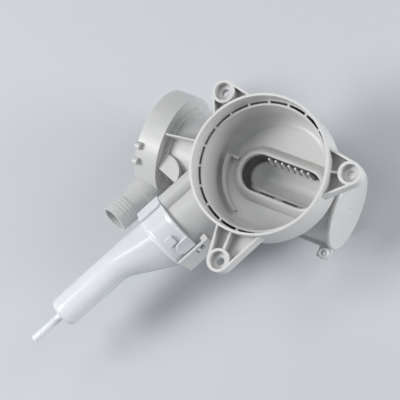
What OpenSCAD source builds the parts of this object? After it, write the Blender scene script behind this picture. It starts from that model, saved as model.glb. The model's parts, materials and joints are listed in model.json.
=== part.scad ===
// Pump filter housing of a washing machine, with its clipped-on air trap.
// The origin is the middle of the pot's mouth, level with the rim. +Z leaves the mouth,
// and the pump chamber lies along X under the pot, with the pump's seat at its -X end.

/* [Pot] */
// Outer radius of the rim
rim_r = 48; // [44:0.5:54]
// Thickness of the rim's wall
rim_wall = 1.8; // [1.2:0.1:2.4]
// Bore radius of the inner wall
liner_r = 42.4; // [39:0.2:42.8]
// Thickness of the inner wall
liner_wall = 1.5; // [1:0.1:2]
// Depth of the seal seat, from the rim to the tops of the webs
seat_depth = 11.3; // [8:0.1:14]
// Height of the rim's wall
skirt_h = 29.7; // [24:0.1:31]
// Depth of the floor below the rim
floor_depth = 42; // [38:0.5:43]
// Thickness of the floor
floor_t = 2; // [1.5:0.1:3]
// Number of webs between the two walls
web_count = 20; // [12:1:24]
// Thickness of a web
web_t = 1.8; // [1:0.1:2.4]

/* [Ears] */
// Depth of the ears' tops below the rim
ear_drop = 5; // [2:0.5:8]
// Height of an ear
ear_h = 10; // [8:0.5:14]
// Outer radius of a screw boss
boss_r = 8; // [7:0.1:9]
// Radius of the screw hole
ear_hole_r = 2.75; // [2:0.05:3.5]
// Radius of the counterbore for the screw's head
head_r = 6; // [4.5:0.1:6.4]
// Depth of the counterbore
head_depth = 5; // [2:0.5:6]
// Thickness of an ear's walls
ear_wall = 1.6; // [1.2:0.1:2.2]
// Thickness of an ear's floor
ear_floor_t = 2; // [1.2:0.1:3]
// Reach of the upper left ear from the pot's axis
ear_a_reach = 58.9; // [56:0.1:64]
// Direction of the upper left ear
ear_a_dir = 139.8; // [135:0.1:145]
// Reach of the right ear from the pot's axis
ear_b_reach = 61.1; // [58:0.1:66]
// Direction of the right ear
ear_b_dir = 14.9; // [10:0.1:20]
// Reach of the lower ear from the pot's axis
ear_c_reach = 68.2; // [62:0.1:72]
// Direction of the lower ear
ear_c_dir = -91.3; // [-96:0.1:-86]

/* [Chamber] */
// Distance of the chamber's axis to the -Y side of the pot's axis
axis_shift = 2; // [0:0.5:4]
// Depth of the chamber's axis below the rim
axis_depth = 61; // [59:0.5:66]
// Outer radius of the chamber
chamber_r = 27.2; // [26.4:0.1:28]
// Thickness of the chamber's wall
chamber_wall = 2.2; // [1.8:0.1:2.6]
// Half the width of the slot in the pot's floor
slot_r = 13; // [10:0.5:14]
// Middle of the slot's rounded -X end
slot_left = -11; // [-14:0.5:-6]
// Middle of the slot's rounded +X end
slot_right = 23; // [16:0.5:25]
// Width of the weld flanges along the chamber
flange_w = 2.4; // [1.5:0.1:3]
// Thickness of one weld flange
flange_t = 1.8; // [1.2:0.1:2.4]
// Radius of the hole in the fixing lug
lug_hole_r = 1.6; // [1.2:0.1:2]
// Height of the rest under the chamber, from the chamber's axis to the ground
rest_h = 39; // [38.6:0.1:44]

/* [End cover] */
// Outer face of the end cover, from the pot's axis
cover_face = 50.9; // [50:0.1:56]
// Radius of the end cover
cover_r = 28.9; // [28.4:0.1:31]
// Thickness of the end cover
cover_t = 2.6; // [2:0.1:3]
// Length of the plug that goes into the chamber
plug_l = 5.4; // [5:0.1:6]

/* [Pump seat] */
// Distance of the volute's face from the pot's axis
volute_face = 80; // [78:0.5:84]
// Outer radius of the volute's cup
volute_r = 29.2; // [29:0.1:30]
// Radius of the impeller's bore
impeller_r = 27; // [26:0.1:27.2]
// Depth of the impeller's bore
impeller_depth = 13.6; // [13:0.1:14]
// Radius of the pump's inlet hole
inlet_r = 16; // [12:0.5:18]
// Outer radius of the pump's collar
collar_r = 37.5; // [37:0.1:40]
// Width of the pump's collar
collar_w = 17.3; // [17:0.1:18]
// Thickness of the collar's wall
collar_wall = 2.2; // [1.8:0.1:2.6]
// Number of bayonet ramps
ramp_count = 4; // [3:1:5]

/* [Outlet] */
// Outer radius of the drain hose's spigot
spigot_r = 10.6; // [10.3:0.05:10.8]
// Thickness of the spigot's wall where the hose sits
spigot_wall = 1.7; // [1.4:0.1:1.8]
// Length of the spigot outside the collar's axis line
spigot_l = 43; // [38:0.5:55]
// Length of the part of the spigot that the hose covers
hose_l = 14; // [12:0.5:14]
// Direction of the spigot round the pot's axis
spigot_dir = -108; // [-112:0.5:-104]
// Rise of the spigot above level
spigot_rise = 23; // [18:0.5:28]

/* [Strainer tray] */
// Inner radius of the tray's trough
tray_r = 9.3; // [8.4:0.1:9.4]
// Wall thickness of the tray
tray_t = 1.3; // [1:0.1:1.5]
// Height of the tray's rim above the chamber's axis
tray_rise = 6; // [4:0.5:8]
// Number of teeth in the tray's comb
tooth_n = 7; // [5:1:8]

/* [Air trap] */
// Direction of the air trap round the pot's axis
trap_dir = -117.4; // [-120:0.1:-114]
// Distance of the trap's joint from the pot's axis, towards -X
trap_x = 63.2; // [62:0.1:66]
// Distance of the trap's joint from the pot's axis, towards -Y
trap_y = 67.8; // [66:0.1:74]
// Depth of the trap's joint below the rim
trap_depth = 53.4; // [53.4:0.1:56]
// Outer radius of the port
port_r = 22.6; // [22:0.1:22.8]
// Thickness of the port's wall
port_wall = 2.2; // [1.8:0.1:2.6]
// Length of the trap's collar over the port
trap_collar_l = 17; // [14:0.5:18]
// Outer radius of the air trap's tube where it leaves the funnel
tube_r = 11.4; // [10.5:0.1:12]
// Wall thickness of the air trap
trap_wall = 1.3; // [1:0.1:1.6]
// Length of the funnel
funnel_l = 36; // [30:0.5:42]
// Length of the tube, to its shoulder
tube_l = 54; // [40:0.5:60]
// Length of the hose nozzle
nozzle_l = 27; // [18:0.5:30]
// Outer radius of the hose nozzle
nozzle_r = 2.9; // [2.5:0.1:3.5]
// Bore radius of the hose nozzle
nozzle_bore_r = 1.5; // [1:0.1:1.8]

/* [Hidden] */
$fn = 96;
small_fn = 48;
hull_fn = 32;
// Overlap that keeps a cut from ending on a face
cut = 0.5;
// Gap between two mouldings that are welded together
weld_gap = 0.1;
// Gap between a plug and the socket that it is pushed into
push_gap = 0.1;
// Gap beside a moving piece
free_gap = 0.3;
// Gaps between a rubber seal and the top and the sides of its groove
seal_gap = 0.05;
seal_side = 0.1;

grey = [0.84, 0.85, 0.84];
milky = [0.83, 0.87, 0.93, 0.6];
rubber = [0.13, 0.13, 0.14];
flap_rubber = [0.2, 0.2, 0.21];
steel = [0.72, 0.73, 0.75];

// Pot
mouth_r = rim_r - rim_wall;
mouth_l = seat_depth - 0.5;
liner_out_r = liner_r + liner_wall;
floor_top = -floor_depth;
floor_bottom = floor_top - floor_t;
gap_step = 0.6;
gap_floor_t = 2;
ramp_wall_r = liner_r - 5.9;
ramp_wall_t = 2;
ramp_from = 175;
ramp_to = 241;
ramp_high = 8;
ramp_slope = 8.5;

// Ears: how far round the pot each wall's foot lies from the ear's direction, on either side
ear_a_spread = [17, 20];
ear_b_spread = [19, 21];
ear_c_spread = [25, 13];
ear_rib_drop = 1;

// Chamber
axis_y = -axis_shift;
axis_z = -axis_depth;
chamber_bore_r = chamber_r - chamber_wall;
cover_in = cover_face - cover_t;
flange_y = chamber_r + flange_w;
flange_from = -62;
tube_rim_t = 2;
lug_in = 1.8;
lug_x = cover_in - lug_in;
lug_size = 9;
lug_reach = 7.4;
lug_hole_out = 0.4;
ground = axis_z - rest_h;
tapping_r = 7;
tapping_rise = 2;
web_y = axis_y + 1;
web_skew = 7.8;
web_wall = 1.2;
web_top = axis_z + collar_r + 1.5;
rest_from = 6;
rest_to = 40;
rest_half = 17;
rest_sole_t = 2.5;
rest_rib_t = 3;

// End cover
plug_r = chamber_bore_r - push_gap;
plug_wall = 3;
cover_chamfer = 0.8;
cover_groove_x = 1.6;
cover_groove_w = 1.6;
cover_groove_depth = 1.1;
gate_r = 1.6;
gate_depth = 0.4;

// Strainer tray
tray_out_r = tray_r + tray_t;
tray_half = slot_r - 0.7;
tray_shift = 0.8;
tray_in = 1.4;
tray_rim = axis_z + tray_rise;
deck_in = tray_r - 1.2;
deck_step = 2.4;
deck_drop = 1.2;
slit_w = 1;
slit_l = 11;
slit_xs = [slot_left - 1, slot_left + 17];
tooth_pitch = 5;
tooth_t = 1.3;
tooth_top = axis_z + sqrt(pow(chamber_bore_r, 2) - pow(tray_half, 2)) - free_gap;
foot_t = 1.8;
foot_half = 6;
foot_gap = 0.15;
foot_xs = [slot_left + 3, slot_right - 3 - foot_t];

// Pump seat
volute_back = -volute_face;
volute_plate_t = 2.4;
seat_face = volute_back - volute_plate_t - impeller_depth;
seat_plate_t = 2.2;
collar_bore_r = collar_r - collar_wall;
collar_front = volute_back - 1.7;
collar_end = collar_front - collar_w;
shoulder_r = collar_bore_r - 1.6;
shoulder_t = 1.4;
seal_h = 1.8;
seal_edge = 1.2;
seal_out_r = shoulder_r - seal_edge;
seal_in_r = impeller_r + seal_edge;
bayonet_angle = 34;
bayonet_from = 28;
bayonet_t = 1.1;
bayonet_reach = 2;
catch_dirs = [200, 217];
catch_w = 5;
catch_l = 3.6;
catch_out = 2.1;
sole_half = 16;

// Outlet
outlet_x = volute_back - volute_plate_t - impeller_depth / 2;
outlet_y = axis_y - volute_r - free_gap;
outlet_z = axis_z + 1;
hose_bead = 0.6;
root_r = spigot_r - hose_bead;
boss_wall = 1.7;
boss_out_r = root_r + push_gap + boss_wall;
boss_from = -13;
boss_to = 18;
socket_from = 11;
passage_r = 5.7;
spigot_bore_r = spigot_r - spigot_wall;
root_bore_r = spigot_bore_r - 1.5;
block_r = 14;
block_x = volute_back + 2;
block_y = outlet_y + 4.8;
block_top = axis_z + chamber_r - 0.2;
block_flat = 1.5;
flap_step = boss_to + 0.5;
flap_ring_t = 2.2;
flap_face = flap_step + flap_ring_t;
flap_ring_r = spigot_bore_r - push_gap;
flap_hole_r = flap_ring_r - 2.6;
flap_r = flap_hole_r + 1.1;
flap_t = 1.2;
flap_mid = 0.6;
flap_lift = 0.06;
hinge_clear = 4;
pin_r = 0.8;
pin_gap = 0.05;
pin_x = -6.8;
pin_rise = 1.6;
pin_z = flap_face + pin_rise;
knuckle_r = 1.45;
knuckle_half = 2.6;
cheek_in = knuckle_half + free_gap;
cheek_out = 4.5;
cheek_half = 1;
seal_groove = socket_from + 2;
seal_ring_w = 1.3;
seal_ring_in = root_r - seal_ring_w;

// Air trap
port_bore_r = port_r - port_wall;
port_end = -1;
port_back = -74;
lobe_r = 7.2;
lobe_side = -12.5;
lobe_rise = 17.5;
lobe_wall = 1.8;
lobe_to = -trap_collar_l - 1;
trap_collar_bore_r = port_r + 0.4;
trap_collar_wall = 1.7;
trap_collar_r = trap_collar_bore_r + trap_collar_wall;
trap_step_t = 3.2;
funnel_r = port_bore_r + 0.4;
funnel_skirt = 1;
tube_rise = 12;
tube_side = -5.2;
tube_end_r = tube_r - 0.1;
shoulder_round = 4;
clip_dir = 97;
clip_half = 9.8;
clip_in = trap_collar_r + 0.5;
clip_out = clip_in + 1.8;
clip_from = -26;
clip_to = 0.5;
clip_base_l = 4.5;
clip_window_y = 2.2;
clip_window_w = 5.6;
clip_window_l = 7;
clip_window_from = clip_from + clip_base_l + 1;
pad_r = clip_out - 0.4;
pad_root = trap_collar_r - 1;
tongue_dir = clip_dir + 33;
tongue_w = 9.6;
tongue_from = -20;
tongue_to = -4;
square_dir = clip_dir + 53;
square_pad = 6.4;
square_from = -9;
side_pad_dir = clip_dir + 128;
side_pad_w = 13;
catch_from = -16.8;
catch_len = 2.3;
port_groove = -7;
port_groove_r = port_r - 1;
port_ring_w = 1.4;

module ring(r_out, r_in, h) {
    difference() {
        cylinder(r = r_out, h = h);
        translate([0, 0, -cut]) cylinder(r = r_in, h = h + 2 * cut);
    }
}

// Lays a shape's +Z along +X, on the chamber's axis
module on_axis(x) {
    translate([x, axis_y, axis_z]) rotate([0, 90, 0]) children();
}

// Puts a shape's +Z along the outlet, with its X pointing down
module on_outlet(w = 0) {
    translate([outlet_x, outlet_y, outlet_z]) rotate([0, 90 - spigot_rise, spigot_dir])
        translate([0, 0, w]) children();
}

// Puts a shape's +Z along the air trap, with its X pointing down
module on_trap(w = 0) {
    translate([-trap_x, -trap_y, -trap_depth]) rotate([0, 90, trap_dir])
        translate([0, 0, w]) children();
}

// A straight wall from one point to another, seen from above
module bar(p, q, w, h) {
    along = q - p;
    translate(p) rotate(atan2(along[1], along[0])) translate([0, -w / 2, 0])
        cube([norm(along), w, h]);
}

function on_circle(r, angle) = [r * cos(angle), r * sin(angle)];

// Where a line from point a touches the circle of radius r round b, on one side
function touch(a, b, r, side) =
    let (to_a = a - b, turn = atan2(to_a[1], to_a[0]) + side * acos(r / norm(to_a)))
    b + on_circle(r, turn);

// One screw ear: a floor and two walls that touch its boss, and a rib from the boss to the pot
module ear(reach, dir, spread) {
    boss = on_circle(reach, dir);
    line_r = boss_r - ear_wall / 2;
    foot_r = rim_r - rim_wall / 2;
    left = on_circle(foot_r, dir + spread[0]);
    right = on_circle(foot_r, dir - spread[1]);
    left_end = touch(left, boss, line_r, -1);
    right_end = touch(right, boss, line_r, 1);
    translate([0, 0, -ear_drop - ear_h]) {
        bar(left, left_end, ear_wall, ear_h);
        bar(right, right_end, ear_wall, ear_h);
        bar(on_circle(foot_r, dir), on_circle(reach - line_r, dir), ear_wall, ear_h - ear_rib_drop);
        translate(boss) cylinder(r = boss_r, h = ear_h, $fn = small_fn);
        difference() {
            linear_extrude(ear_floor_t) polygon([left, left_end, boss, right_end, right]);
            translate([0, 0, -cut]) cylinder(r = foot_r, h = ear_floor_t + 2 * cut);
        }
    }
}

module ear_bores(reach, dir) {
    translate(concat(on_circle(reach, dir), -ear_drop - ear_h)) {
        translate([0, 0, -cut]) cylinder(r = ear_hole_r, h = ear_h + 2 * cut, $fn = small_fn);
        translate([0, 0, ear_h - head_depth]) cylinder(r = head_r, h = head_depth + cut, $fn = small_fn);
    }
}

// The chamber's crown, which stands up through the pot's floor and ends in a dome
module crown(r) {
    on_axis(slot_left) {
        sphere(r = r);
        cylinder(r = r, h = liner_out_r + cut - slot_left);
    }
}

module slot_shape(r, h) {
    for (x = [slot_left, slot_right]) translate([x, 0, 0]) cylinder(r = r, h = h);
    translate([slot_left, -r, 0]) cube([slot_right - slot_left, 2 * r, h]);
}

// A wall on the floor that falls away round the pot, with a short rib at its high end
module floor_ramp() {
    high = floor_top + ramp_high;
    difference() {
        rotate(ramp_from) rotate_extrude(angle = ramp_to - ramp_from)
            translate([ramp_wall_r - ramp_wall_t / 2, floor_top - cut])
                square([ramp_wall_t, ramp_high + cut]);
        rotate(ramp_from) translate([ramp_wall_r, 0, high]) rotate([-ramp_slope, 0, 0])
            translate([-rim_r * 2, -cut, 0]) cube([rim_r * 3, rim_r * 2, ramp_high * 2]);
    }
    crown_floor_r = sqrt(pow(chamber_r, 2) - pow(floor_top - axis_z, 2));
    rib_in = on_circle(crown_floor_r - slot_left - ramp_wall_t / 2, ramp_from);
    translate([0, 0, floor_top - cut])
        bar(rib_in, on_circle(ramp_wall_r, ramp_from), ramp_wall_t, ramp_high / 2 + cut);
}

module pot_walls() {
    translate([0, 0, -mouth_l]) ring(rim_r, mouth_r, mouth_l);
    translate([0, 0, -skirt_h]) {
        ring(rim_r, mouth_r - gap_step, skirt_h - mouth_l);
        ring(rim_r, liner_r, gap_floor_t);
        for (i = [0:web_count - 1]) rotate(i * 360 / web_count)
            translate([liner_out_r - liner_wall / 2, -web_t / 2, 0])
                cube([mouth_r - liner_out_r + liner_wall / 2 + cut, web_t, skirt_h - seat_depth]);
    }
    translate([0, 0, floor_bottom]) {
        ring(liner_out_r, liner_r, -seat_depth - floor_bottom);
        cylinder(r = liner_out_r, h = floor_t);
    }
}

module filter_pot() {
    crown_h = axis_z + chamber_r - floor_bottom;
    color(grey) difference() {
        union() {
            pot_walls();
            intersection() {
                crown(chamber_r);
                translate([0, 0, floor_bottom])
                    cylinder(r = liner_out_r, h = crown_h + cut);
            }
            floor_ramp();
            ear(ear_a_reach, ear_a_dir, ear_a_spread);
            ear(ear_b_reach, ear_b_dir, ear_b_spread);
            ear(ear_c_reach, ear_c_dir, ear_c_spread);
        }
        crown(chamber_bore_r);
        translate([0, axis_y, floor_bottom - cut]) slot_shape(slot_r, crown_h + 2 * cut);
        ear_bores(ear_a_reach, ear_a_dir);
        ear_bores(ear_b_reach, ear_b_dir);
        ear_bores(ear_c_reach, ear_c_dir);
    }
}

// The space that the pot takes, with a gap round it
module pot_space() {
    translate([0, 0, floor_bottom]) cylinder(r = liner_out_r + weld_gap, h = -floor_bottom);
    translate([0, 0, -skirt_h - weld_gap]) cylinder(r = rim_r + weld_gap, h = skirt_h + weld_gap);
}

// The chamber's whole tube and the rim at its -X end, before it is parted at its axis
module chamber_tube() {
    on_axis(volute_back) {
        cylinder(r = chamber_r, h = cover_in - volute_back);
        cylinder(r = volute_r, h = tube_rim_t);
    }
}

// The flanges and the fixing lug of one half of the chamber
module flanges(z, h) {
    translate([flange_from, axis_y - flange_y, z]) cube([cover_in - flange_from, 2 * flange_y, h]);
    translate([lug_x - lug_size / 2, axis_y - flange_y - lug_reach, z])
        cube([lug_size, lug_reach - weld_gap, h]);
    translate([lug_x - lug_size / 2, axis_y - flange_y - cut, z])
        cube([cover_in - lug_x + lug_size / 2, 2 * cut, h]);
}

module lug_hole() {
    translate([lug_x, axis_y - flange_y - lug_reach / 2 - lug_hole_out, axis_z - 2 * flange_t])
        cylinder(r = lug_hole_r, h = 4 * flange_t, $fn = small_fn);
}

// The hole that joins the chamber to the air trap
module pressure_tapping() {
    translate([0, 0, tapping_rise]) on_trap(port_back - tapping_r)
        cylinder(r = tapping_r, h = -port_back, $fn = small_fn);
}

// The block behind the outlet, with a flat top, a round side and a side cut square to the spigot
module outlet_block() {
    difference() {
        translate([block_x, block_y, axis_z]) difference() {
            cylinder(r = block_r, h = block_top - axis_z);
            rotate(spigot_dir) translate([-block_flat, -2 * block_r, -cut])
                cube([4 * block_r, 4 * block_r, block_top - axis_z + 2 * cut]);
            translate([collar_front + weld_gap - block_x - 2 * block_r, -2 * block_r, -cut])
                cube([2 * block_r, 4 * block_r, block_top - axis_z + 2 * cut]);
        }
        on_axis(volute_back - 2 * boss_out_r) cylinder(r = volute_r + weld_gap, h = 2 * boss_out_r);
        on_outlet(boss_from) cylinder(r = boss_out_r + weld_gap, h = boss_to - boss_from);
        port_body(weld_gap);
    }
}

module chamber_top() {
    color(grey) difference() {
        union() {
            chamber_tube();
            flanges(axis_z, flange_t);
            outlet_block();
            translate([volute_back, web_y, axis_z]) rotate(web_skew)
                translate([0, -web_wall / 2, 0]) cube([volute_face - liner_r, web_wall, web_top - axis_z]);
        }
        on_axis(volute_back - cut) cylinder(r = chamber_bore_r, h = cover_in - volute_back + 2 * cut);
        translate([volute_back - cut, axis_y - rim_r, axis_z - rim_r])
            cube([2 * rim_r + volute_face, 2 * rim_r, rim_r]);
        pot_space();
        pressure_tapping();
        lug_hole();
    }
}

// The ribbed rest under the chamber
module rest() {
    foot_r = chamber_r - chamber_wall / 2;
    translate([rest_from, axis_y - rest_half, ground])
        cube([rest_to - rest_from, 2 * rest_half, rest_sole_t]);
    for (x = [rest_from, rest_to - rest_rib_t]) translate([x, axis_y - rest_half, ground])
        cube([rest_rib_t, 2 * rest_half, rest_h - sqrt(pow(foot_r, 2) - pow(rest_half, 2))]);
    translate([rest_from, axis_y - rest_rib_t / 2, ground])
        cube([rest_to - rest_from, rest_rib_t, rest_h - foot_r]);
}

module chamber_bottom() {
    color(grey) difference() {
        union() {
            chamber_tube();
            flanges(axis_z - flange_t, flange_t);
            rest();
        }
        on_axis(volute_back - cut) cylinder(r = chamber_bore_r, h = cover_in - volute_back + 2 * cut);
        translate([volute_back - cut, axis_y - rim_r, axis_z])
            cube([2 * rim_r + volute_face, 2 * rim_r, rim_r]);
        lug_hole();
    }
}

module end_cover() {
    color(grey) difference() {
        union() {
            on_axis(cover_in) {
                cylinder(r = cover_r, h = cover_t - cover_chamfer);
                translate([0, 0, cover_t - cover_chamfer])
                    cylinder(r1 = cover_r, r2 = cover_r - cover_chamfer, h = cover_chamfer);
            }
            on_axis(cover_in - plug_l) cylinder(r = plug_r, h = plug_l + cut);
        }
        on_axis(cover_in - plug_l - cut) cylinder(r = plug_r - plug_wall, h = plug_l + cut);
        on_axis(cover_in - cover_groove_x - cover_groove_w)
            ring(plug_r + cut, plug_r - cover_groove_depth, cover_groove_w);
        // The small dimple left by the mould's gate
        on_axis(cover_face - gate_depth) cylinder(r = gate_r, h = gate_depth + cut, $fn = small_fn);
    }
}

module cover_seal() {
    color(rubber) on_axis(cover_in - cover_groove_x - cover_groove_w + seal_side)
        ring(chamber_bore_r - seal_gap, chamber_bore_r - cover_groove_depth, cover_groove_w - 2 * seal_side);
}

// Half a capsule with its flat side up, which is the tray's trough
module trough(r) {
    ends = [slot_left - tray_in, slot_right + tray_in];
    intersection() {
        translate([0, tray_shift, tray_rise]) union() {
            on_axis(ends[0]) cylinder(r = r, h = ends[1] - ends[0]);
            for (x = ends) on_axis(x) sphere(r = r);
        }
        translate([slot_left - 2 * slot_r, axis_y - slot_r, tray_rim - 2 * slot_r])
            cube([slot_right - slot_left + 4 * slot_r, 2 * slot_r, 2 * slot_r]);
    }
}

// A deck beside the trough, from one distance to another on the chamber's -Y side
module deck(from, to, top) {
    intersection() {
        translate([0, axis_y, top - tray_t]) slot_shape(tray_half, tray_t);
        translate([slot_left - slot_r, axis_y - to, top - tray_t])
            cube([slot_right - slot_left + 2 * slot_r, to - from, tray_t]);
    }
}

// The loose strainer, which is lifted out through the slot that it lies under
module strainer_tray() {
    tooth_y = tray_half - tooth_t;
    comb_l = (tooth_n - 1) * tooth_pitch + tooth_t;
    comb_from = (slot_left + slot_right - comb_l) / 2;
    color(grey) difference() {
        union() {
            trough(tray_out_r);
            deck(deck_in, deck_in + deck_step, tray_rim);
            deck(deck_in + deck_step - tray_t, tray_half, tray_rim - deck_drop);
            // A comb of teeth along the +Y side, on a rail
            translate([comb_from, axis_y + tray_out_r - tray_t, tray_rim - 2 * tray_t])
                cube([comb_l, tray_half - tray_out_r + tray_t, tray_t]);
            for (i = [0:tooth_n - 1])
                translate([comb_from + i * tooth_pitch, axis_y + tooth_y, tray_rim - 2 * tray_t])
                    cube([tooth_t, tooth_t, tooth_top - tray_rim + 2 * tray_t]);
            // Two feet that stand on the chamber's wall
            for (x = foot_xs) intersection() {
                on_axis(x) cylinder(r = chamber_bore_r - foot_gap, h = foot_t);
                translate([x, axis_y + tray_shift - foot_half, axis_z - chamber_r])
                    cube([foot_t, 2 * foot_half, chamber_r + tray_rise - tray_r]);
            }
        }
        trough(tray_r);
        // Two long slits on the -Y side
        for (x = slit_xs)
            translate([x, axis_y - tray_half + slit_w, tray_rim - deck_drop - 2 * tray_t])
                cube([slit_l, slit_w, 3 * tray_t]);
    }
}

module volute() {
    color(grey) difference() {
        union() {
            on_axis(volute_back - volute_plate_t) cylinder(r = volute_r, h = volute_plate_t);
            on_axis(seat_face) cylinder(r = volute_r, h = impeller_depth + cut);
            on_axis(seat_face) cylinder(r = collar_bore_r - weld_gap, h = seat_plate_t);
            on_outlet(boss_from) cylinder(r = boss_out_r, h = boss_to - boss_from);
        }
        on_axis(seat_face - 2 * boss_out_r) cylinder(r = impeller_r, h = impeller_depth + 2 * boss_out_r);
        on_axis(volute_back - volute_plate_t - cut) cylinder(r = inlet_r, h = volute_plate_t + 2 * cut);
        on_outlet(socket_from)
            cylinder(r = root_r + push_gap, h = boss_to - socket_from + cut, $fn = small_fn);
        on_outlet(boss_from - cut) cylinder(r = passage_r, h = boss_to - boss_from, $fn = small_fn);
        // Nothing of the boss stands in the pump's seat or in the chamber
        on_axis(seat_face - 3 * boss_out_r) cylinder(r = collar_bore_r, h = 3 * boss_out_r);
        on_axis(volute_back) cylinder(r = volute_r + weld_gap, h = boss_out_r);
    }
}

module pump_seat() {
    foot_r = collar_r - collar_wall / 2;
    color(grey) difference() {
        union() {
            on_axis(collar_end) ring(collar_r, collar_bore_r, collar_w);
            on_axis(seat_face + seat_plate_t) ring(collar_r - cut, shoulder_r, shoulder_t);
            // The closed front of the collar, round the volute
            on_axis(collar_front - collar_wall) ring(collar_r, volute_r + weld_gap, collar_wall);
            for (i = [0:ramp_count - 1]) on_axis(collar_end) rotate(bayonet_from + i * 360 / ramp_count)
                rotate_extrude(angle = bayonet_angle) translate([collar_bore_r - bayonet_reach, 0])
                    square([bayonet_reach + cut, bayonet_t]);
            // Two catches on the collar's rim
            for (a = catch_dirs) on_axis(collar_end) rotate(a) translate([collar_r - cut, 0, 0]) {
                translate([0, -catch_w / 2, 0]) cube([catch_out, catch_w, catch_l]);
                translate([catch_out, 0, 0]) cylinder(r = catch_w / 2, h = catch_l, $fn = small_fn);
            }
            difference() {
                translate([collar_end, axis_y - sole_half, ground])
                    cube([collar_w, 2 * sole_half, rest_h - sqrt(pow(foot_r, 2) - pow(sole_half, 2))]);
                on_axis(collar_end - cut) cylinder(r = foot_r, h = collar_w + 2 * cut);
            }
        }
        on_outlet(boss_from) cylinder(r = boss_out_r + weld_gap, h = boss_to - boss_from);
    }
}

module pump_seal() {
    color(rubber) on_axis(seat_face - seal_h) ring(seal_out_r, seal_in_r, seal_h);
}

module outlet_spigot() {
    hose_from = spigot_l - hose_l;
    color(grey) on_outlet() difference() {
        union() {
            translate([0, 0, socket_from])
                cylinder(r = root_r, h = spigot_l - socket_from - cut, $fn = small_fn);
            translate([0, 0, hose_from]) cylinder(r = spigot_r, h = hose_l, $fn = small_fn);
        }
        translate([0, 0, socket_from - cut]) cylinder(r = root_bore_r, h = spigot_l, $fn = small_fn);
        translate([0, 0, flap_step]) cylinder(r = spigot_bore_r, h = spigot_l, $fn = small_fn);
        translate([0, 0, seal_groove]) ring(root_r + cut, seal_ring_in, seal_ring_w + 2 * seal_side);
    }
}

module outlet_seal() {
    color(rubber) on_outlet(seal_groove + seal_side)
        ring(root_r + push_gap - seal_gap, seal_ring_in + seal_gap, seal_ring_w);
}

module flap_seat() {
    color(grey) on_outlet() difference() {
        union() {
            translate([0, 0, flap_step]) cylinder(r = flap_ring_r, h = flap_ring_t, $fn = small_fn);
            for (y = [cheek_in, -cheek_out]) translate([pin_x - cheek_half, y, flap_face - cut])
                cube([2 * cheek_half, cheek_out - cheek_in, pin_z - flap_face + cheek_half + cut]);
        }
        translate([flap_mid, 0, 0]) cylinder(r = flap_hole_r, h = spigot_l, $fn = small_fn);
        translate([pin_x, -cheek_out - cut, pin_z]) rotate([-90, 0, 0])
            cylinder(r = pin_r, h = 2 * cheek_out + 2 * cut, $fn = small_fn);
    }
}

module check_flap() {
    color(flap_rubber) on_outlet() difference() {
        union() {
            difference() {
                translate([flap_mid, 0, flap_face + flap_lift])
                    cylinder(r = flap_r, h = flap_t, $fn = small_fn);
                translate([pin_x - hinge_clear, -flap_r, flap_face])
                    cube([hinge_clear + knuckle_r + free_gap, 2 * flap_r, 2 * flap_t]);
            }
            translate([pin_x, -knuckle_half, flap_face + flap_lift])
                cube([hinge_clear, 2 * knuckle_half, flap_t]);
            translate([pin_x, -knuckle_half, pin_z]) rotate([-90, 0, 0])
                cylinder(r = knuckle_r, h = 2 * knuckle_half, $fn = small_fn);
        }
        translate([pin_x, -knuckle_half - cut, pin_z]) rotate([-90, 0, 0])
            cylinder(r = pin_r + pin_gap, h = 2 * knuckle_half + 2 * cut, $fn = small_fn);
    }
}

module flap_pin() {
    color(steel) on_outlet() translate([pin_x, -cheek_out, pin_z]) rotate([-90, 0, 0])
        cylinder(r = pin_r, h = 2 * cheek_out, $fn = small_fn);
}

// The springy clip that holds the trap, over the catch on the trap's collar
module port_clip() {
    difference() {
        union() {
            translate([clip_in, -clip_half, clip_from])
                cube([clip_out - clip_in, 2 * clip_half, clip_to - clip_from]);
            translate([port_r - cut, -clip_half, clip_from])
                cube([clip_out - port_r + cut, 2 * clip_half, clip_base_l]);
        }
        translate([clip_in - cut, clip_window_y, clip_window_from])
            cube([clip_out - clip_in + 2 * cut, clip_window_w, clip_window_l]);
    }
}

// The port's tube, with a lobe along its upper side that ends before the trap's collar
module port_body(grow = 0) {
    on_trap(port_back) cylinder(r = port_r + grow, h = port_end - port_back);
    on_trap(port_back) translate([-lobe_rise, lobe_side, 0])
        cylinder(r = lobe_r + grow, h = lobe_to - port_back);
}

module trap_port() {
    color(grey) difference() {
        union() {
            port_body();
            on_trap() rotate(clip_dir) port_clip();
        }
        on_trap(port_back - cut) cylinder(r = port_bore_r, h = -port_back + cut);
        on_trap(port_back - cut) translate([-lobe_rise, lobe_side, 0])
            cylinder(r = lobe_r - lobe_wall, h = lobe_to - lobe_wall - port_back);
        on_trap(port_groove) ring(port_r + cut, port_groove_r, port_ring_w + 2 * seal_side);
        on_axis(volute_back - rim_r) cylinder(r = chamber_r + weld_gap, h = 3 * rim_r);
        on_axis(volute_back - rim_r) cylinder(r = collar_r + weld_gap, h = rim_r);
        translate([flange_from - weld_gap, axis_y - flange_y - weld_gap, axis_z - flange_t - weld_gap])
            cube([rim_r, 2 * rim_r, 2 * flange_t + 2 * weld_gap]);
        // Nothing of the port lies past the chamber's axis
        translate([-2 * rim_r - volute_face, axis_y, axis_z - rim_r])
            cube([4 * rim_r + volute_face, 2 * rim_r, 2 * rim_r]);
        pot_space();
    }
}

module trap_seal() {
    color(rubber) on_trap(port_groove + seal_side)
        ring(trap_collar_bore_r - seal_gap, port_groove_r + seal_gap, port_ring_w);
}

// Half of the tube's outline, from its axis outwards, with a rounded shoulder
module tube_half(shrink, from) {
    r_low = tube_r - shrink;
    r_high = tube_end_r - shrink;
    turn_r = shoulder_round - shrink;
    top = tube_l - shrink;
    polygon([[0, from], [r_low, from], [r_high, top - turn_r], [0, top - turn_r]]);
    square([r_high - turn_r, top]);
    translate([r_high - turn_r, top - turn_r]) circle(r = turn_r, $fn = small_fn);
}

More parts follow.
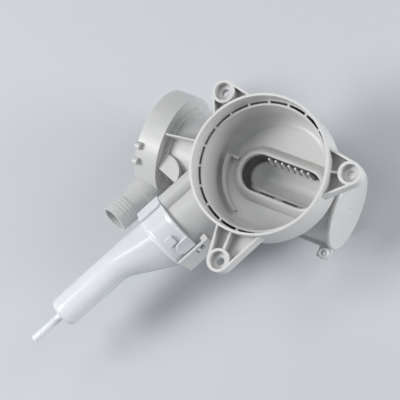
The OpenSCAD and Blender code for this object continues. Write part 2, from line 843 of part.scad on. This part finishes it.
module funnel(shrink, from) {
    hull() {
        translate([0, 0, from])
            cylinder(r = funnel_r - shrink, h = trap_step_t + funnel_skirt - from, $fn = hull_fn);
        translate([-tube_rise, tube_side, funnel_l - weld_gap])
            cylinder(r = tube_r - shrink, h = 2 * weld_gap, $fn = hull_fn);
    }
}

// The raised pads on the trap's collar
module collar_pads() {
    tongue_round = tongue_to - tongue_w / 2;
    rotate(tongue_dir) {
        translate([pad_root, -tongue_w / 2, tongue_from])
            cube([pad_r - pad_root, tongue_w, tongue_round - tongue_from]);
        translate([pad_root, 0, tongue_round]) rotate([0, 90, 0])
            cylinder(r = tongue_w / 2, h = pad_r - pad_root, $fn = small_fn);
    }
    rotate(square_dir) translate([pad_root, -square_pad / 2, square_from])
        cube([pad_r - pad_root, square_pad, square_pad]);
    rotate(side_pad_dir) translate([pad_root, -side_pad_w / 2, -trap_collar_l])
        cube([pad_r - pad_root, side_pad_w, trap_collar_l + trap_step_t - cut]);
    // The catch in the clip's window
    rotate(clip_dir) translate([pad_root, clip_window_y + free_gap, catch_from])
        cube([clip_out - pad_root, clip_window_w - 2 * free_gap, catch_len]);
}

module air_trap() {
    color(milky) on_trap() difference() {
        union() {
            translate([0, 0, -trap_collar_l]) cylinder(r = trap_collar_r, h = trap_collar_l + trap_step_t);
            collar_pads();
            funnel(0, trap_step_t);
            translate([-tube_rise, tube_side, funnel_l]) {
                rotate_extrude() tube_half(0, 0);
                cylinder(r = nozzle_r, h = tube_l + nozzle_l, $fn = small_fn);
            }
        }
        translate([0, 0, tongue_from - cut]) cylinder(r = trap_collar_bore_r, h = cut - tongue_from);
        funnel(trap_wall, -1);
        translate([-tube_rise, tube_side, funnel_l]) {
            rotate_extrude() tube_half(trap_wall, -cut);
            translate([0, 0, tube_l - 2 * trap_wall])
                cylinder(r = nozzle_bore_r, h = nozzle_l + 2 * trap_wall + cut, $fn = small_fn);
        }
    }
}

filter_pot();
chamber_top();
chamber_bottom();
end_cover();
cover_seal();
strainer_tray();
volute();
pump_seat();
pump_seal();
outlet_spigot();
outlet_seal();
flap_seat();
check_flap();
flap_pin();
trap_port();
trap_seal();
air_trap();
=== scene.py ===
import json
import math

import bmesh
import bpy
from mathutils import Matrix, Vector


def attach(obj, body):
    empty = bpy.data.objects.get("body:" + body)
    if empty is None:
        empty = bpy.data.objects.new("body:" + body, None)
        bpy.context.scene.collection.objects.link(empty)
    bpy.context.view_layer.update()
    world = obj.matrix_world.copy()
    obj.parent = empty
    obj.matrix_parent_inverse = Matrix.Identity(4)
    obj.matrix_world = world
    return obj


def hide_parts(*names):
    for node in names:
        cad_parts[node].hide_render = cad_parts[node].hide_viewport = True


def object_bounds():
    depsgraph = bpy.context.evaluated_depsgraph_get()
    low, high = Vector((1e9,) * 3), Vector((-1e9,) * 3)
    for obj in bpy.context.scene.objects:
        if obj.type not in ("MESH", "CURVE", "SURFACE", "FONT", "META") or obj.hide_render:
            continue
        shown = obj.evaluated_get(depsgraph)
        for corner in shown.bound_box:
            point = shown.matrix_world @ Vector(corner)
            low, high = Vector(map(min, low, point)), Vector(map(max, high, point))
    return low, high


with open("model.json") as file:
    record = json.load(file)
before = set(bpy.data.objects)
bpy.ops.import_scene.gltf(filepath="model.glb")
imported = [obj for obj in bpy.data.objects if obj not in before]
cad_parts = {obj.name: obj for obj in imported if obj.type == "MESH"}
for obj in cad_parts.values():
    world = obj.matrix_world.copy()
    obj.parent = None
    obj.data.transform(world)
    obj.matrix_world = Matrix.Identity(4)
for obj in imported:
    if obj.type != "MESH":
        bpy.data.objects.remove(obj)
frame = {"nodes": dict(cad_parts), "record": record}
cad_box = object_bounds()
nodes = frame["nodes"]

MM = 0.001

# Camera: the photograph's own viewpoint, in metres
CAMERA_AT = (0.3333, -0.0820, 0.8432)
CAMERA_UP = (-0.338, 0.921, 0.195)
CAMERA_BACK = (0.393, -0.050, 0.918)
CAMERA_LENS = 125.0
SENSOR = 36.0

# Sizes that the details share with the part, in millimetres and degrees
AXIS_Y, AXIS_Z = -2.0, -61.0
CHAMBER_R = 27.2
LINER_R, FLOOR_Z = 42.4, -42.0
RAMP_MIDDLE, RAMP_TURN = 208.0, 48.0
SLOT_R, SLOT_LEFT, SLOT_RIGHT = 13.0, -11.0, 23.0
TOOTH_N, TOOTH_PITCH, TOOTH_X = 7, 5.0, -9.65
OUTLET = (-89.2, -31.5, -60.0)
OUTLET_DIR, OUTLET_RISE = -108.0, 23.0
SPIGOT_R, SPIGOT_L = 10.6, 43.0
TRAP_JOINT = (-63.2, -67.8, -53.4)
TRAP_DIR, CLIP_DIR = -117.4, 97.0
TUBE_AT = (-12.0, -5.2)
LUG_AT, LUG_TOP = (46.5, -35.7), -59.2


def make_camera():
    data = bpy.data.cameras.new("camera")
    data.lens = CAMERA_LENS
    data.sensor_width = SENSOR
    data.clip_start = 0.01
    data.clip_end = 20
    camera = bpy.data.objects.new("camera", data)
    bpy.context.scene.collection.objects.link(camera)
    back = Vector(CAMERA_BACK).normalized()
    right = Vector(CAMERA_UP).cross(back).normalized()
    up = back.cross(right)
    turn = Matrix((right, up, back)).transposed().to_4x4()
    camera.matrix_world = Matrix.Translation(CAMERA_AT) @ turn
    bpy.context.scene.camera = camera


# Node helpers
class Graph:
    """A material's node tree, with short calls for the nodes that the finishes share."""

    def __init__(self, name):
        self.material = bpy.data.materials.new(name)
        self.material.use_nodes = True
        self.tree = self.material.node_tree
        self.tree.nodes.clear()
        self.shader = self.add("ShaderNodeBsdfPrincipled")
        out = self.add("ShaderNodeOutputMaterial")
        self.link(self.shader.outputs["BSDF"], out.inputs["Surface"])
        self.coords = self.add("ShaderNodeTexCoord").outputs["Object"]

    def add(self, kind, **settings):
        node = self.tree.nodes.new(kind)
        for key, value in settings.items():
            setattr(node, key, value)
        return node

    def link(self, a, b):
        self.tree.links.new(a, b)

    def set(self, **values):
        for key, value in values.items():
            self.shader.inputs[key.replace("_", " ")].default_value = value

    def stretched(self, scale):
        mapping = self.add("ShaderNodeMapping")
        mapping.inputs["Scale"].default_value = scale
        self.link(self.coords, mapping.inputs["Vector"])
        return mapping.outputs["Vector"]

    def noise(self, scale, detail=3.0, rough=0.5, vector=None, distortion=0.0):
        node = self.add("ShaderNodeTexNoise")
        node.inputs["Scale"].default_value = scale
        node.inputs["Detail"].default_value = detail
        node.inputs["Roughness"].default_value = rough
        node.inputs["Distortion"].default_value = distortion
        self.link(vector or self.coords, node.inputs["Vector"])
        return node.outputs["Fac"]

    def cells(self, scale):
        node = self.add("ShaderNodeTexVoronoi", feature="F1")
        node.inputs["Scale"].default_value = scale
        self.link(self.coords, node.inputs["Vector"])
        return node.outputs["Distance"]

    def ramp(self, value, low, high, out_low=0.0, out_high=1.0):
        node = self.add("ShaderNodeMapRange", interpolation_type="SMOOTHSTEP")
        limits = {"From Min": low, "From Max": high, "To Min": out_low, "To Max": out_high}
        for key, number in limits.items():
            node.inputs[key].default_value = number
        self.link(value, node.inputs["Value"])
        return node.outputs["Result"]

    def math(self, kind, a, b):
        node = self.add("ShaderNodeMath", operation=kind)
        for socket, value in zip(node.inputs, (a, b)):
            if isinstance(value, (int, float)):
                socket.default_value = value
            else:
                self.link(value, socket)
        return node.outputs["Value"]

    def mix(self, share, a, b):
        node = self.add("ShaderNodeMix", data_type="RGBA")
        for socket, value in ((node.inputs[0], share), (node.inputs[6], a), (node.inputs[7], b)):
            if isinstance(value, tuple):
                socket.default_value = (*value, 1.0)
            else:
                self.link(value, socket)
        return node.outputs[2]

    def edges(self, radius):
        """How much the surface turns within a radius: 0 on a flat face, 1 on an edge."""
        bevel = self.add("ShaderNodeBevel", samples=4)
        bevel.inputs["Radius"].default_value = radius
        flat = self.add("ShaderNodeNewGeometry")
        dot = self.add("ShaderNodeVectorMath", operation="DOT_PRODUCT")
        self.link(bevel.outputs["Normal"], dot.inputs[0])
        self.link(flat.outputs["Normal"], dot.inputs[1])
        return self.ramp(dot.outputs["Value"], 0.98, 0.78)

    def bump(self, heights, radius):
        """Chains bumps of (height, strength, distance) on a rounded edge of the given radius."""
        bevel = self.add("ShaderNodeBevel", samples=4)
        bevel.inputs["Radius"].default_value = radius
        normal = bevel.outputs["Normal"]
        for height, strength, distance in heights:
            node = self.add("ShaderNodeBump")
            node.inputs["Strength"].default_value = strength
            node.inputs["Distance"].default_value = distance
            self.link(height, node.inputs["Height"])
            self.link(normal, node.inputs["Normal"])
            normal = node.outputs["Normal"]
        self.link(normal, self.shader.inputs["Normal"])


POLYPROPYLENE_IOR = 1.49
GREY_FLOW = (1.0, 0.4, 1.5)


def grey_plastic(name, light, dark):
    """Moulded polypropylene: flow marks, a fine grain, rubbed edges and a few specks."""
    g = Graph(name)
    clouds = g.noise(13, 4, 0.55)
    marks = g.noise(42, 3, 0.55, g.stretched(GREY_FLOW), 0.5)
    specks = g.cells(330)
    grain = g.noise(2400, 2, 0.5)
    ripple = g.noise(120, 2, 0.5)
    rubs = g.noise(260, 4, 0.7)
    edge = g.edges(0.0008)
    tone = g.mix(g.ramp(clouds, 0.32, 0.7), light, dark)
    tone = g.mix(g.ramp(marks, 0.5, 0.75, 0.0, 0.25), tone, dark)
    tone = g.mix(g.ramp(specks, 0.045, 0.02, 0.0, 0.3), tone, (0.33, 0.32, 0.30))
    worn = g.math("MULTIPLY", edge, g.ramp(rubs, 0.3, 0.6, 0.12, 0.42))
    tone = g.mix(worn, tone, (0.80, 0.80, 0.79))
    g.link(tone, g.shader.inputs["Base Color"])
    rough = g.ramp(marks, 0.3, 0.7, 0.29, 0.37)
    rough = g.math("SUBTRACT", rough, g.math("MULTIPLY", edge, 0.08))
    g.link(rough, g.shader.inputs["Roughness"])
    g.set(IOR=POLYPROPYLENE_IOR, Specular_IOR_Level=0.45)
    g.set(Subsurface_Weight=0.08, Subsurface_Scale=0.003, Subsurface_Radius=(1.0, 0.98, 0.93))
    g.bump(((ripple, 0.12, 0.0004), (grain, 0.10, 0.0001)), 0.0004)
    return g.material


def milky_plastic(name):
    """Natural polypropylene of the air trap: cloudy, glossy and partly see-through."""
    g = Graph(name)
    clouds = g.noise(24, 4, 0.55)
    flow = g.noise(60, 2, 0.5)
    grain = g.noise(1400, 2, 0.5)
    ripple = g.noise(70, 2, 0.5)
    rubs = g.noise(300, 4, 0.7)
    edge = g.edges(0.0004)
    tone = g.mix(g.ramp(clouds, 0.35, 0.7), (0.815, 0.84, 0.875), (0.765, 0.80, 0.85))
    tone = g.mix(g.ramp(flow, 0.5, 0.8, 0.0, 0.25), tone, (0.86, 0.87, 0.885))
    worn = g.math("MULTIPLY", edge, g.ramp(rubs, 0.3, 0.6, 0.25, 0.6))
    tone = g.mix(worn, tone, (0.88, 0.89, 0.91))
    g.link(tone, g.shader.inputs["Base Color"])
    g.link(g.ramp(clouds, 0.3, 0.7, 0.15, 0.22), g.shader.inputs["Roughness"])
    g.set(IOR=POLYPROPYLENE_IOR, Transmission_Weight=0.04)
    g.set(Subsurface_Weight=0.3, Subsurface_Scale=0.004, Subsurface_Radius=(0.9, 0.95, 1.0))
    g.bump(((ripple, 0.14, 0.0005), (grain, 0.06, 0.0001)), 0.0003)
    return g.material


def rubber(name, colour, worn):
    """Moulded rubber: a dusty bloom, a matt grain and lighter edges."""
    g = Graph(name)
    dust = g.noise(90, 4, 0.6)
    grain = g.noise(1800, 2, 0.6)
    edge = g.edges(0.0004)
    tone = g.mix(g.ramp(dust, 0.45, 0.75, 0.0, 0.6), colour, worn)
    tone = g.mix(g.math("MULTIPLY", edge, 0.4), tone, worn)
    g.link(tone, g.shader.inputs["Base Color"])
    g.link(g.ramp(dust, 0.3, 0.7, 0.55, 0.75), g.shader.inputs["Roughness"])
    g.bump(((grain, 0.25, 0.0001),), 0.0002)
    return g.material


def wire_steel(name):
    """Drawn stainless wire with fine lines along it."""
    g = Graph(name)
    drawn = g.noise(300, 3, 0.6, g.stretched((1.0, 0.12, 4.0)))
    g.link(g.mix(drawn, (0.62, 0.63, 0.65), (0.74, 0.75, 0.77)), g.shader.inputs["Base Color"])
    g.link(g.ramp(drawn, 0.3, 0.7, 0.28, 0.42), g.shader.inputs["Roughness"])
    g.set(Metallic=1.0)
    g.bump(((drawn, 0.15, 0.00005),), 0.0001)
    return g.material


FINISHES = {
    "housing_grey": grey_plastic("housing_grey_moulded", (0.645, 0.643, 0.636), (0.59, 0.588, 0.58)),
    "trap_milky": milky_plastic("trap_milky_moulded"),
    "seal_rubber": rubber("seal_rubber_moulded", (0.035, 0.035, 0.037), (0.10, 0.10, 0.10)),
    "flap_rubber": rubber("flap_rubber_moulded", (0.06, 0.06, 0.063), (0.14, 0.14, 0.14)),
    "pin_steel": wire_steel("pin_steel_drawn"),
}
# The loose tray gets a lighter copy of the grey plastic: painted light, standing in for the light
# that the tray catches down in the slot
TRAY_GREY_PAINTED_LIGHT = grey_plastic("tray_grey_painted_light", (0.86, 0.858, 0.85), (0.81, 0.808, 0.80))
for row in frame["record"]["subparts"]:
    loose_tray = row["node"] == "strainer_tray"
    materials = nodes[row["node"]].data.materials
    for index in range(len(materials)):
        materials[index] = TRAY_GREY_PAINTED_LIGHT if loose_tray else FINISHES[row["material_slot"]]

make_camera()


# Piece helpers
def add_piece(name, shape, slot, sharp=35, bevel=0.0):
    """Makes a piece on the housing from points in millimetres and faces.

    It is smooth but for edges sharper than the given angle, which a bevel may round."""
    points, faces = shape
    mesh = bpy.data.meshes.new(name)
    mesh.from_pydata([[v * MM for v in p] for p in points], [], faces)
    work = bmesh.new()
    work.from_mesh(mesh)
    bmesh.ops.remove_doubles(work, verts=work.verts, dist=1e-6)
    bmesh.ops.recalc_face_normals(work, faces=work.faces)
    for face in work.faces:
        face.smooth = True
    for edge in work.edges:
        if len(edge.link_faces) == 2 and edge.calc_face_angle(0) > math.radians(sharp):
            edge.smooth = False
    work.to_mesh(mesh)
    work.free()
    piece = bpy.data.objects.new(name, mesh)
    bpy.context.scene.collection.objects.link(piece)
    mesh.materials.append(FINISHES[slot])
    if bevel:
        rounding = piece.modifiers.new("rounding", "BEVEL")
        rounding.width = bevel * MM
        rounding.segments = 3
        rounding.limit_method = "ANGLE"
        rounding.angle_limit = math.radians(40)
    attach(piece, "housing")
    return piece


def loft(rings, closed=False):
    """Joins rings of equal count with quads. An open loft gets an end cap on both ends, and a
    closed one runs round to its first ring again."""
    points = [p for ring in rings for p in ring]
    count = len(rings[0])
    faces = []
    for i in range(len(rings) if closed else len(rings) - 1):
        a, b = i * count, (i + 1) % len(rings) * count
        for k in range(count):
            faces.append((a + k, a + (k + 1) % count, b + (k + 1) % count, b + k))
    if not closed:
        faces.append(tuple(range(count))[::-1])
        faces.append(tuple(range(len(points) - count, len(points))))
    return points, faces


def frame_of(origin, along):
    """A function from local (x, y, z) to the part's place: z runs along, x points down."""
    z = Vector(along).normalized()
    y = z.cross(Vector((0, 0, -1))).normalized()
    x = y.cross(z)
    return lambda p: tuple(Vector(origin) + x * p[0] + y * p[1] + z * p[2])


def direction(turn, rise=0.0):
    turn, rise = math.radians(turn), math.radians(rise)
    return (math.cos(rise) * math.cos(turn), math.cos(rise) * math.sin(turn), math.sin(rise))


on_trap = frame_of(TRAP_JOINT, direction(TRAP_DIR))
on_outlet = frame_of(OUTLET, direction(OUTLET_DIR, OUTLET_RISE))


# The air trap: one smooth blown skin with a wall, in place of the faceted solid.
# Each section is (w, r, share): w along the joint's axis, the radius, and how far its middle
# has moved from the collar's axis to the tube's.
TRAP_SIDES = 72
COLLAR_END, COLLAR_R, COLLAR_BORE_R = -17.0, 24.7, 23.0
SHOULDER_W, SHOULDER_R = 0.4, 2.8
FUNNEL_W, FUNNEL_END_W, FUNNEL_STEPS = 3.9, 36.0, 37
FUNNEL_R, TUBE_R, TUBE_END_R = 20.8, 11.4, 11.3
BEND_START, BEND_END = 0.88, 1.12
TUBE_W, TUBE_ROUND_W, TUBE_ROUND, TUBE_TOP = 40, 86, 4, 90.0
NOZZLE_R, NOZZLE_BORE_R, NOZZLE_TIP = 2.9, 1.5, 117.0
TRAP_WALL = 1.3


def funnel_share(w):
    """Straight along the funnel, then bent into the tube."""
    t = (w - FUNNEL_W) / (FUNNEL_END_W - FUNNEL_W)
    if t < BEND_START:
        return t
    if t < BEND_END:
        return 1 - (BEND_END - t) ** 2 / (2 * (BEND_END - BEND_START))
    return 1.0


def funnel_section(w, wall=0.0):
    share = funnel_share(w)
    return w, FUNNEL_R + (TUBE_R - FUNNEL_R) * share - wall, share


def trap_ring(w, r, share):
    cx, cy = TUBE_AT[0] * share, TUBE_AT[1] * share
    turns = [2 * math.pi * k / TRAP_SIDES for k in range(TRAP_SIDES)]
    return [on_trap((cx + r * math.cos(a), cy + r * math.sin(a), w)) for a in turns]


def collar_sections():
    """The collar with the bead round its mouth, and its round shoulder."""
    bead = ((COLLAR_END, 24.4), (-16.9, 24.9), (-16.5, 25.25), (-15.9, 25.35), (-15.3, 25.2))
    bead += ((-14.9, 24.9), (-14.5, COLLAR_R))
    rows = [(w, r, 0.0) for w, r in bead]
    rows += [(w, COLLAR_R, 0.0) for w in (-12, -8, -4, -1, SHOULDER_W)]
    for a in (0.25, 0.5, 0.75, 1.0, 1.25, 1.5):
        r = COLLAR_R - SHOULDER_R + SHOULDER_R * math.cos(a)
        rows.append((SHOULDER_W + SHOULDER_R * math.sin(a), r, 0.0))
    return rows + [(3.3, 21.4, 0.0), (3.6, 20.95, 0.0)]


def tube_sections():
    """The tube with its round end."""
    taper = (TUBE_END_R - TUBE_R) / (TUBE_ROUND_W - TUBE_W)
    rows = [(w, TUBE_R + taper * (w - TUBE_W), 1.0) for w in range(44, TUBE_ROUND_W, 6)]
    for a in [i * math.pi / 16 for i in range(9)]:
        r = TUBE_END_R - TUBE_ROUND + TUBE_ROUND * math.cos(a)
        rows.append((TUBE_ROUND_W + TUBE_ROUND * math.sin(a), r, 1.0))
    return rows


def nozzle_sections():
    """The nozzle with the fillet at its root and the bead that the hose slips over."""
    fillet = ((0, 5.2), (0.1, 4.0), (0.5, 3.25), (1.2, NOZZLE_R))
    rows = [(TUBE_TOP + w, r, 1.0) for w, r in fillet]
    rows += [(w, NOZZLE_R, 1.0) for w in (96, 102, 108, 109.6)]
    rows += [(110.1, 3.0, 1.0), (110.8, 3.0, 1.0)]
    rows += [(w, NOZZLE_R, 1.0) for w in (111.3, 114, 116.5)]
    return rows + [(116.9, 2.7, 1.0), (NOZZLE_TIP, 2.4, 1.0)]


def trap_sections():
    """All round the wall: outside from the collar's mouth to the nozzle, and back inside."""
    steps = [FUNNEL_W + i for i in range(FUNNEL_STEPS)]
    rows = collar_sections() + [funnel_section(w) for w in steps]
    rows += tube_sections() + nozzle_sections()
    rows.append((NOZZLE_TIP, 1.6, 1.0))
    rows += [(w, NOZZLE_BORE_R, 1.0) for w in (116.7, 104, 89)]
    rows += [(88.7, 2.0, 1.0), (88.7, 7.0, 1.0)]
    inner_round = TUBE_ROUND - TRAP_WALL
    for a in (0.4, 0.8, 1.2, math.pi / 2):
        r = TUBE_END_R - TUBE_ROUND + inner_round * math.sin(a)
        rows.append((TUBE_ROUND_W + inner_round * math.cos(a), r, 1.0))
    rows += [funnel_section(w, TRAP_WALL) for w in [70, 55, 42] + steps[::-1][::2]]
    rows += [(0.0, 19.6, 0.0)]
    rows += [(w, COLLAR_BORE_R, 0.0) for w in (0.0, -8, -16.6)]
    return rows + [(COLLAR_END, 23.3, 0.0)]


skin = loft([trap_ring(*row) for row in trap_sections()], closed=True)
trap = add_piece("air_trap_skin", skin, "trap_milky", sharp=40)

PAD_FROM, PAD_TO = 24.2, 26.6


def tongue_outline(half, low, high):
    """A tongue with a round top, as (y, z) pairs."""
    turns = [i * math.pi / 16 for i in range(17)]
    ring = [(half * math.cos(a), high - half + half * math.sin(a)) for a in turns]
    return ring + [(-half, low), (half, low)]


def pad_outline(half, low, high, corner, steps=6):
    """A rounded rectangle, as (y, z) pairs."""
    ring = []
    for cy, cz, start in ((half, high, 0), (-half, high, 90), (-half, low, 180), (half, low, 270)):
        cy -= math.copysign(corner, cy)
        cz -= corner if cz == high else -corner
        for i in range(steps + 1):
            a = math.radians(start + 90 * i / steps)
            ring.append((cy + corner * math.cos(a), cz + corner * math.sin(a)))
    return ring


def trap_pad(name, turn, outline, x_from=PAD_FROM, x_to=PAD_TO, side=0.0, bevel=0.5):
    """A pad on the trap's collar, turned about the joint's axis."""
    a = math.radians(turn)

    def place(x, y, z):
        y += side
        return on_trap((x * math.cos(a) - y * math.sin(a), x * math.sin(a) + y * math.cos(a), z))

    rings = [[place(x, y, z) for y, z in outline] for x in (x_from, x_to)]
    return add_piece(name, loft(rings), "trap_milky", sharp=30, bevel=bevel)


side_outline = pad_outline(6.5, -17.0, 2.7, 1.2)
catch_outline = pad_outline(2.5, -16.8, -14.5, 0.4)
pads = [
    trap_pad("trap_tongue", CLIP_DIR + 33, tongue_outline(4.8, -16.9, -4.0)),
    trap_pad("trap_square_pad", CLIP_DIR + 53, pad_outline(3.2, -9.0, -2.6, 0.8)),
    trap_pad("trap_side_pad", CLIP_DIR + 128, side_outline, x_from=23.9, bevel=0.8),
    trap_pad("trap_catch", CLIP_DIR, catch_outline, x_to=27.0, side=5.0, bevel=0.3),
]
for piece in [trap] + pads:
    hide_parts("air_trap")


# The raised lip round the slot, which follows the crown's back and its round end
def crown_z(x, y):
    across = y - AXIS_Y
    if x < SLOT_LEFT:
        across = math.hypot(across, x - SLOT_LEFT)
    return AXIS_Z + math.sqrt(max(CHAMBER_R ** 2 - across ** 2, 0.0))


# The lip's profile, as pairs of a step out from the slot and a height over the crown
LIP = [(0.02, -2.0), (0.02, 0.0), (0.2, 0.8), (0.7, 1.5), (1.6, 2.0), (2.7, 2.1), (3.9, 1.8)]
LIP += [(5.1, 1.25), (6.3, 0.6), (7.4, 0.1), (7.6, -0.8), (1.0, -2.2)]
LIP_WIDTH = LIP[-2][0]
LIP_GAP, LIP_WALL_GAP = 0.02, 0.1
LIP_TURN_STEPS, LIP_SIDE_STEPS = 24, 14


def slot_path():
    """Round the slot's outline, as pairs of the middle's x and the direction outwards."""
    turn, side = LIP_TURN_STEPS, LIP_SIDE_STEPS
    length = SLOT_RIGHT - SLOT_LEFT
    path = [(SLOT_LEFT, 90 + 180 * i / turn) for i in range(turn + 1)]
    path += [(SLOT_LEFT + length * i / side, 270) for i in range(1, side + 1)]
    path += [(SLOT_RIGHT, 270 + 180 * i / turn) for i in range(1, turn)]
    path += [(SLOT_RIGHT - length * i / side, 90) for i in range(side)]
    return [(x, math.radians(a)) for x, a in path]


def slot_lip():
    rings = []
    for cx, a in slot_path():
        def outwards(r):
            return cx + r * math.cos(a), AXIS_Y + r * math.sin(a)

        # The lip narrows where the pot's inner wall comes close
        width = LIP_WIDTH
        while math.hypot(*outwards(SLOT_R + width)) > LINER_R - LIP_WALL_GAP:
            width -= 0.1
        ring = []
        for step, h in LIP:
            x, y = outwards(SLOT_R + LIP_GAP + step * width / LIP_WIDTH)
            ring.append((x, y, crown_z(x, y) + h))
        rings.append(ring)
    return loft(rings, closed=True)


add_piece("slot_lip", slot_lip(), "housing_grey", sharp=50)


# The hollow curve where the pot's inner wall runs into its floor, smaller over the floor's ramp
CURVE_R, CURVE_SMALL, CURVE_SINK = 7.0, 2.5, 0.4
CURVE_RINGS, CURVE_STEPS, CURVE_BLEND = 120, 8, 12


def floor_curve():
    wall, low = LINER_R + CURVE_SINK, FLOOR_Z - CURVE_SINK
    rings = []
    for k in range(CURVE_RINGS):
        turn = 360 / CURVE_RINGS * k
        near_ramp = max(0.0, min(1.0, (RAMP_TURN - abs(turn - RAMP_MIDDLE)) / CURVE_BLEND))
        r = CURVE_R - (CURVE_R - CURVE_SMALL) * near_ramp
        ring = [(wall, FLOOR_Z + r)]
        for i in range(CURVE_STEPS + 1):
            a = math.pi / 2 * i / CURVE_STEPS
            ring.append((LINER_R - r + r * math.cos(a), FLOOR_Z + r - r * math.sin(a)))
        ring += [(LINER_R - r, low), (wall, low)]
        a = math.radians(turn)
        rings.append([(q * math.cos(a), q * math.sin(a), z) for q, z in ring])
    return loft(rings, closed=True)


add_piece("floor_curve", floor_curve(), "housing_grey", sharp=50)


# Gussets behind the teeth of the strainer's comb, as (y, z) pairs between two x
GUSSET = [(10.28, -56.0), (10.28, -39.6), (9.0, -39.6), (8.2, -47.0), (7.6, -54.0), (7.6, -56.0)]
GUSSET_FROM, GUSSET_TO = -0.1, 1.4
for index in range(TOOTH_N):
    x = TOOTH_X + index * TOOTH_PITCH
    gusset = loft([[(x + dx, y, z) for y, z in GUSSET] for dx in (GUSSET_FROM, GUSSET_TO)])
    fin = add_piece("comb_gusset_%d" % (index + 1), gusset, "housing_grey", sharp=20, bevel=0.15)
    # The gussets take the tray's lighter grey too, which is painted light on them
    fin.data.materials[0] = TRAY_GREY_PAINTED_LIGHT
    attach(fin, "strainer")


# Thin rings near the spigot's end that grip the drain hose
RING_FROM_END, RING_RISE, RING_SINK = (10.8, 8.0, 5.2), 0.11, 0.1
RING_SIDES = 64


def spigot_ring(w):
    foot = SPIGOT_R - RING_SINK
    profile = [(foot, w - 1.1), (SPIGOT_R, w - 1.0), (SPIGOT_R + RING_RISE * 0.8, w - 0.2)]
    profile += [(SPIGOT_R + RING_RISE, w + 0.1), (SPIGOT_R + RING_RISE * 0.7, w + 0.4)]
    profile += [(foot, w + 0.6)]
    rings = []
    for k in range(RING_SIDES):
        a = 2 * math.pi * k / RING_SIDES
        rings.append([on_outlet((r * math.cos(a), r * math.sin(a), z)) for r, z in profile])
    return loft(rings, closed=True)


for index, back in enumerate(RING_FROM_END):
    add_piece("spigot_ring_%d" % (index + 1), spigot_ring(SPIGOT_L - back), "housing_grey")


# The round boss on the lug under the end cover, as pairs of a radius and a height
BOSS = [(1.7, -0.2), (1.7, 1.9), (2.0, 2.3), (2.6, 2.5), (3.3, 2.35), (3.7, 1.9), (3.9, 1.2)]
BOSS += [(4.1, -0.2)]
BOSS_SIDES = 48


def lug_boss():
    rings = []
    for k in range(BOSS_SIDES):
        a = math.radians(360 / BOSS_SIDES * k)
        x, y = math.cos(a), math.sin(a)
        rings.append([(LUG_AT[0] + r * x, LUG_AT[1] + r * y, LUG_TOP + h) for r, h in BOSS])
    return loft(rings, closed=True)


add_piece("lug_boss", lug_boss(), "housing_grey", sharp=60)


# Floor and light
def plain_material(name, colour, rough):
    material = bpy.data.materials.new(name)
    material.use_nodes = True
    shader = material.node_tree.nodes["Principled BSDF"]
    shader.inputs["Base Color"].default_value = (*colour, 1)
    shader.inputs["Roughness"].default_value = rough
    return material


FLOOR_HALF = 4.0
ground = cad_box[0][2]
corners = [(x * FLOOR_HALF, y * FLOOR_HALF, ground) for x, y in ((-1, -1), (1, -1), (1, 1), (-1, 1))]
mesh = bpy.data.meshes.new("floor")
mesh.from_pydata(corners, [], [(0, 1, 2, 3)])
floor = bpy.data.objects.new("floor", mesh)
bpy.context.scene.collection.objects.link(floor)
floor.data.materials.append(plain_material("floor_paper", (0.56, 0.58, 0.61), 0.8))

# Each lamp's name, place and size in metres, and power in watts
LAMPS = (
    ("left", (-0.694, -0.428, 0.81), 0.45, 8.9),
    ("right", (1.039, 0.404, 0.289), 0.5, 7.2),
    ("upper_left", (-0.465, 0.116, 1.045), 0.3, 1.5),
    ("back_right", (0.62, 0.72, 0.63), 0.4, 2.4),
)
LAMP_TARGET = (0, -0.02, -0.05)
WORLD_COLOUR, WORLD_STRENGTH = (0.93, 0.96, 1.0, 1), 0.31


def area_light(name, at, size, power):
    data = bpy.data.lights.new(name, "AREA")
    data.shape = "SQUARE"
    data.size = size
    data.energy = power
    lamp = bpy.data.objects.new(name, data)
    lamp.location = at
    aim = Vector(LAMP_TARGET) - Vector(at)
    lamp.rotation_euler = aim.to_track_quat("-Z", "Y").to_euler()
    bpy.context.scene.collection.objects.link(lamp)


for lamp_row in LAMPS:
    area_light(*lamp_row)
world = bpy.data.worlds.new("world")
world.use_nodes = True
background = world.node_tree.nodes["Background"]
background.inputs["Color"].default_value = WORLD_COLOUR
background.inputs["Strength"].default_value = WORLD_STRENGTH
bpy.context.scene.world = world
bpy.context.scene.view_settings.view_transform = "Standard"
